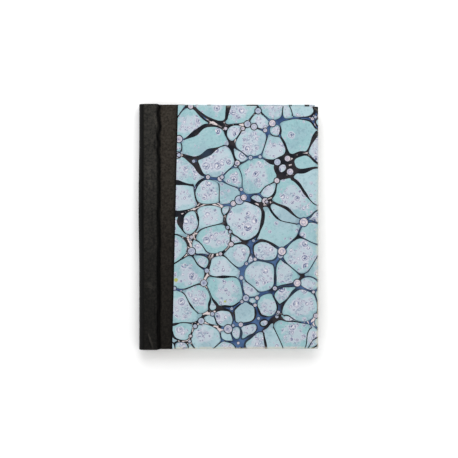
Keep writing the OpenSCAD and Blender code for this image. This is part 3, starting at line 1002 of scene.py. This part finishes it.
def spineLine():
    # Plateau, arc and plateau in X and Z, at even steps, and the way outward. Both shoulders are smoothed
    # by a bell-shaped average along the line. It starts 4 mm past the grooves, so that the average has
    # room, and its ends are put back on them.
    side, bulge = book["boardOuter"], book["shoulderX"] - book["spineX"]
    radius = (side ** 2 + bulge ** 2) / (2 * bulge)
    reach = math.asin(side / radius)
    angle = np.linspace(reach, -reach, 180)
    arc = columns(book["spineX"] + radius - radius * np.cos(angle), radius * np.sin(angle))
    flat = np.linspace(book["grooveX"] + 4, book["shoulderX"], 120)
    line = np.concatenate([columns(flat, side)[:-1], arc, columns(flat[::-1], -side)[1:]])
    along = lengthAlong(line)
    line = pointsAt(line, along, np.arange(0, along[-1], cloth["lineStep"]))
    bell = np.exp(-(np.arange(-cloth["blurReach"], cloth["blurReach"] + 1) / cloth["shoulderBlur"]) ** 2)
    line = columns(*(np.convolve(line[:, i], bell / bell.sum(), "valid") for i in (0, 1)))
    line = line[line[:, 0] <= book["grooveX"]][::cloth["keepOneIn"]]
    line[[0, -1]] = [[book["grooveX"], side], [book["grooveX"], -side]]
    slope = np.gradient(line, axis=0)
    normal = columns(slope[:, 1], -slope[:, 0])
    return line, normal / np.linalg.norm(normal, axis=1, keepdims=True)


def spineCloth(material):
    # the cloth of the book block: both flat bands and the round back between them, from groove to groove
    line, normal = spineLine()
    shoulder = -book["shoulderX"]
    onRound = smooth(-line[:, :1], shoulder, -book["spineX"] - 2.5)
    onTop = line[:, 1:] > 0

    def relief(x, y):
        # ripples and the groove on the bands, and a slight bow along the round
        flank = clothRelief(np.where(onTop, x, x - cloth["backAway"]), y)
        flank = flank - cloth["grooveDepth"] * grooveShape(x, y)
        bow = cloth["bowHeight"] * np.exp(-((y - cloth["bowMiddle"]) / cloth["bowHalf"]) ** 2)
        bow = bow - cloth["bowBase"] + 0.05 * ripples(y, line[:, 1:] * 2, 14, 30)
        return flank * (1 - onRound) + onRound * bow

    def paintedLight(x, y):
        # painted shade: the round is kept black
        return paintedLightShare(x, y) * (1 - smooth(-x, shoulder - 0.6, shoulder + 1))

    half = np.full(len(line), book["spineHalf"])
    depth = turnDepth(line[:, 0])
    points, faces, lay, onPoints, width = wrapped(line, normal, depth, half, -half, relief, paintedLight)
    piece = addPiece("spine_cloth_cover", toBook(points, 1), faces, material, lay, onPoints)
    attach(piece, "book_block")
    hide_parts("spine_cloth")
    declareCloth(width)


def bendWith(piece, cover):
    # The piece's place is baked into its mesh, the same way for the front and the back cover.
    if cover["side"] > 0:
        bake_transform(piece)
    else:
        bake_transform(piece)


def hingeCloth(cover, material):
    # From the hinge strip down through the groove and over the edge of the board, where the ends of the
    # sheet follow the head and tail edges of the cover.
    x = np.concatenate([np.arange(book["grooveX"], book["boardX"] + 1.5, 0.2),
                        np.linspace(book["boardX"] + 1.6, book["clothEndX"], 30)])
    line, normal = columns(x, book["boardOuter"]), columns(0 * x, 1)
    step = smooth(x, book["grooveX"], book["boardX"])
    share = np.maximum(x - book["boardX"], 0) / cover["width"]
    half = book["boardHeight"] / 2 + cloth["thickness"]
    coverHead = cover["shift"] + half - cover["headFall"] * share
    coverTail = cover["shift"] - half + cover["tailRise"] * share
    headY = book["spineHalf"] * (1 - step) + step * coverHead
    tailY = -book["spineHalf"] * (1 - step) + step * coverTail
    away = 0 if cover["side"] > 0 else cloth["backAway"]

    def relief(x, y):
        # the ripples fade under the marbled paper
        under = book["boardX"] + cloth["underPaper"]
        ripple = clothRelief(x - away, y) * (1 - 0.8 * smooth(x, under, under + 2))
        return ripple - cloth["grooveDepth"] * grooveShape(x, y)

    def paintedLight(x, y):
        # painted shadow: the cloth is kept black close to the edge of the paper
        fromPaper = book["boardX"] + paperStart(y) - x
        return paintedLightShare(x, y) * (1 - np.exp(-(np.maximum(fromPaper, 0) / cloth["paperShade"]) ** 2))

    points, faces, lay, onPoints, width = wrapped(line, normal, turnDepth(x), headY, tailY, relief, paintedLight)
    piece = addPiece(cover["name"] + "_hinge_cloth", toBook(points, cover["side"]), faces, material,
                     lay, onPoints)
    bendWith(piece, cover)
    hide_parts(cover["name"] + "_joint_cloth")
    declareCloth(width)


def declareCloth(width):
    # the strip's flat width across the book, turned into metres and not used
    width * mm


clothColours = {  # the book cloth's colours as they look on the book: painted-shade black for the hollows, painted-lit greys for the band and the board, and the flecks, pits and slubs of the weave
    "hollow": rgb(6, 6, 6),
    "litBand": rgb(48, 47, 44),
    "litBoard": rgb(54, 48, 41),
    "fleck": rgb(72, 68, 62),
    "pit": rgb(8, 8, 8),
    "slub": rgb(60, 57, 54),
}


def clothMaterial():
    # a plain weave of sine waves over and under each other, with slubs and filler, and painted light and
    # shade
    material, shader, place = newMaterial("blackBookCloth")
    lay = sheetLay(place)
    across, along = part(lay, 0), part(lay, 1)
    turn = math.pi / (cloth["threadPitch"] * mm)
    warp, weft = (across * turn).maths("SINE"), (along * turn).maths("SINE")
    over = rise(warp * weft, -0.4, 0.4)
    slub = noise(stretched(lay, (2500, 180, 1)), 1, 3, 0.6)
    ribs = noise(stretched(lay, (200, 2200, 1)), 1, 3, 0.6)
    weave = warp.maths("MAXIMUM", abs(warp) * (0.5 + 0.5 * over), abs(weft) * (1 - 0.5 * over))
    broad = noise(place, 60, 3, 0.6)
    filler = noise(place, 620, 3, 0.65)
    # painted light and shade: the proud parts are painted grey as if lit, more towards the head where the
    # lamp stands, and the hollows are painted black as shade
    paintedLight = painted(place, "paintedLight")
    litTowardsHead = rise(part(place, 1) + 0.04 * (broad - 0.5), -0.1, 0.13)
    litShare = paintedLight * (0.22 + 0.78 * litTowardsHead) * (0.75 + 0.25 * weave)
    onBoard = rise(part(place, 0), book["hingeX"] * mm, book["boardX"] * mm)
    colour = mixed(litShare, clothColours["hollow"], mixed(onBoard, clothColours["litBand"], clothColours["litBoard"]))
    # the weave's flecks and slubs show only where the cloth is painted lit, more towards the head
    fleck = rise(filler, 0.48, 0.62) + rise(noise(place, 900, 2, 0.6), 0.55, 0.7) * 0.5
    colour = mixed(fleck * paintedLight * 0.4 * (0.3 + 0.7 * litTowardsHead), colour, clothColours["fleck"])
    colour = mixed(rise(filler, 0.48, 0.36) * 0.6, colour, clothColours["pit"])
    colour = mixed(rise(slub + 0.5 * (ribs - 0.5), 0.5, 0.75) * paintedLight * 0.25, colour, clothColours["slub"])
    height = bump(weave + 0.6 * ribs + 0.4 * slub, 0.00006, 0.7)
    height = bump(filler, 0.00016, 0.5, height)
    height = bump(broad, 0.0006, 0.3, height)
    feed(shader, {"Base Color": colour, "Roughness": 0.5 + 0.2 * filler, "Normal": height,
                  "Specular IOR Level": 0.06})
    return material


# Pages, boards and linings: the frame's own solids with finished materials

def leavesMaterial():
    # the cut edges of the leaves: fine lines across the thickness, some of them deeper
    material, shader, place = newMaterial("leaves")
    layer = stretched(place, (14, 14, 9000))
    fine = noise(layer, 1, 2, 0.7)
    step = noise(stretched(place, (10, 10, 2600), (0.3, 0.1, 0.7)), 1, 1)
    stain = noise(place, 40, 3)
    colour = mixed(rise(fine, 0.35, 0.7), rgb(196, 188, 168), rgb(240, 235, 221))
    colour = mixed(rise(step, 0.4, 0.3) * 0.5, colour, rgb(150, 142, 124))
    colour = mixed(rise(stain, 0.5, 0.8) * 0.3, colour, rgb(222, 208, 180))
    feed(shader, {"Base Color": colour, "Roughness": 0.75 + 0.1 * stain,
                  "Normal": bump(fine + step, 0.0002, 0.8)})
    return material


def paperMaterial(name, pale, deep, fibreColour):
    # a plain sheet: a soft cloud of colour, short fibres and a felt-marked surface
    material, shader, place = newMaterial(name)
    cloud = noise(place, 35, 4, 0.6)
    felt = noise(place, 1500, 4, 0.7)
    fibres = noise(stretched(place, (300, 1500, 600)), 1, 2, 0.5, 1.5)
    colour = mixed(rise(cloud, 0.3, 0.75), pale, deep)
    colour = mixed(rise(fibres, 0.66, 0.74) * 0.4, colour, fibreColour)
    feed(shader, {"Base Color": colour, "Roughness": 0.7 + 0.15 * felt, "Specular IOR Level": 0.3,
                  "Normal": bump(felt + 0.5 * fibres, 0.00005, 0.6)})
    return material


def threadMaterial():
    # two waxed plies that wind round the stitch
    material, shader, place = newMaterial("linenThread")
    ply = ((part(place, 1) + part(place, 2) * 0.6) * (2 * math.pi / 0.0006)).maths("SINE")
    colour = mixed(rise(ply, -0.6, 0.8), rgb(168, 154, 124), rgb(226, 215, 188))
    feed(shader, {"Base Color": colour, "Roughness": 0.55 + 0.1 * noise(place, 3000),
                  "Normal": bump(ply, 0.00008, 0.8)})
    return material


def mullMaterial():
    # open gauze filled with dried glue: two sets of threads, the higher of which is seen
    material, shader, place = newMaterial("mull")
    pitch = 2 * math.pi / 0.0011
    along = (part(place, 1) * pitch).maths("SINE")
    around = ((part(place, 2) + part(place, 0)) * pitch).maths("SINE")
    net = along.maths("MAXIMUM", along, around)
    glue = noise(place, 160, 3)
    colour = mixed(rise(net, 0.1, 0.7), rgb(196, 184, 152), rgb(238, 232, 214))
    feed(shader, {"Base Color": colour, "Roughness": 0.45 + 0.35 * glue,
                  "Normal": bump(net + 0.4 * glue, 0.0001, 0.8)})
    return material


fold = {  # mm; the endpaper where it runs on over the inside of a joint
    "fromX": -67,
    "toX": -56.5,
    "half": 104.3,
    "inner": 5.85,
    "outer": 6.04,
    "sunk": 6.02,
    "taper": 1.5,
    "step": 0.2,
    "rows": 120,
}


def endpaperFold(cover, material):
    # A flat strip from the pasted half of the endpaper to the pastedown. Its inner
    # face comes up to the outer one over a taper at both edges.
    acrossX = np.arange(fold["fromX"], fold["toX"], fold["step"])
    alongY = np.linspace(-fold["half"], fold["half"], fold["rows"])
    x, y = np.meshgrid(acrossX, alongY, indexing="ij")
    toEdge = np.minimum(x - fold["fromX"], x.max() - x)
    inner = fold["sunk"] + (fold["inner"] - fold["sunk"]) * smooth(toEdge, 0, fold["taper"])
    outer = np.full(x.shape, fold["outer"])
    skins = [np.stack([x, y, z], -1).reshape(-1, 3) for z in (outer, inner)]
    points, faces = closedSheet(*skins, [gridFaces(*x.shape)])
    piece = addPiece(cover["name"] + "_endpaper_fold", toBook(points, cover["side"]), faces, material)
    bendWith(piece, cover)


def dressNodes(endpaper):
    # every node that no piece replaces gets a finished material instead of its own
    leaves = leavesMaterial()
    greyboard = paperMaterial("greyboard", rgb(150, 139, 123), rgb(122, 112, 98), rgb(82, 76, 70))
    kraft = paperMaterial("kraft", rgb(184, 148, 104), rgb(160, 124, 84), rgb(116, 84, 52))
    dressed = {
        "page_block": leaves, "sewing_thread": threadMaterial(), "spine_mull": mullMaterial(),
        "spine_lining": kraft, "spine_stiffener": kraft, "front_hinge_strip": greyboard,
        "back_hinge_strip": greyboard, "front_endpaper": endpaper, "back_endpaper": endpaper,
        "front_board": greyboard, "back_board": greyboard, "front_pastedown": endpaper,
        "back_pastedown": endpaper,
    }
    for name, material in dressed.items():
        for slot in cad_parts[name].material_slots:
            slot.material = material


def floorMaterial(floor):
    # plain matt paper with a very faint cloud
    material, shader, place = newMaterial("whiteSweep")
    colour = mixed(noise(place, 3, 2), (0.95, 0.95, 0.95, 1), (0.97, 0.97, 0.97, 1))
    feed(shader, {"Base Color": colour, "Roughness": 0.9, "Specular IOR Level": 0.1})
    floor.data.materials.append(material)


floorMaterial(setStage())
print("stage set")
blackCloth = clothMaterial()
spineCloth(blackCloth)
hingeCloth(front, blackCloth)
hingeCloth(back, blackCloth)
print("book cloth laid")
marbled = marbledMaterial()
marbledPaper(front, marbled)
marbledPaper(back, marbled)
print("marbled papers laid")
endpaper = paperMaterial("endpaper", rgb(240, 234, 218), rgb(229, 221, 201), rgb(205, 190, 160))
endpaperFold(front, endpaper)
endpaperFold(back, endpaper)
dressNodes(endpaper)
print("pages, boards and linings finished")
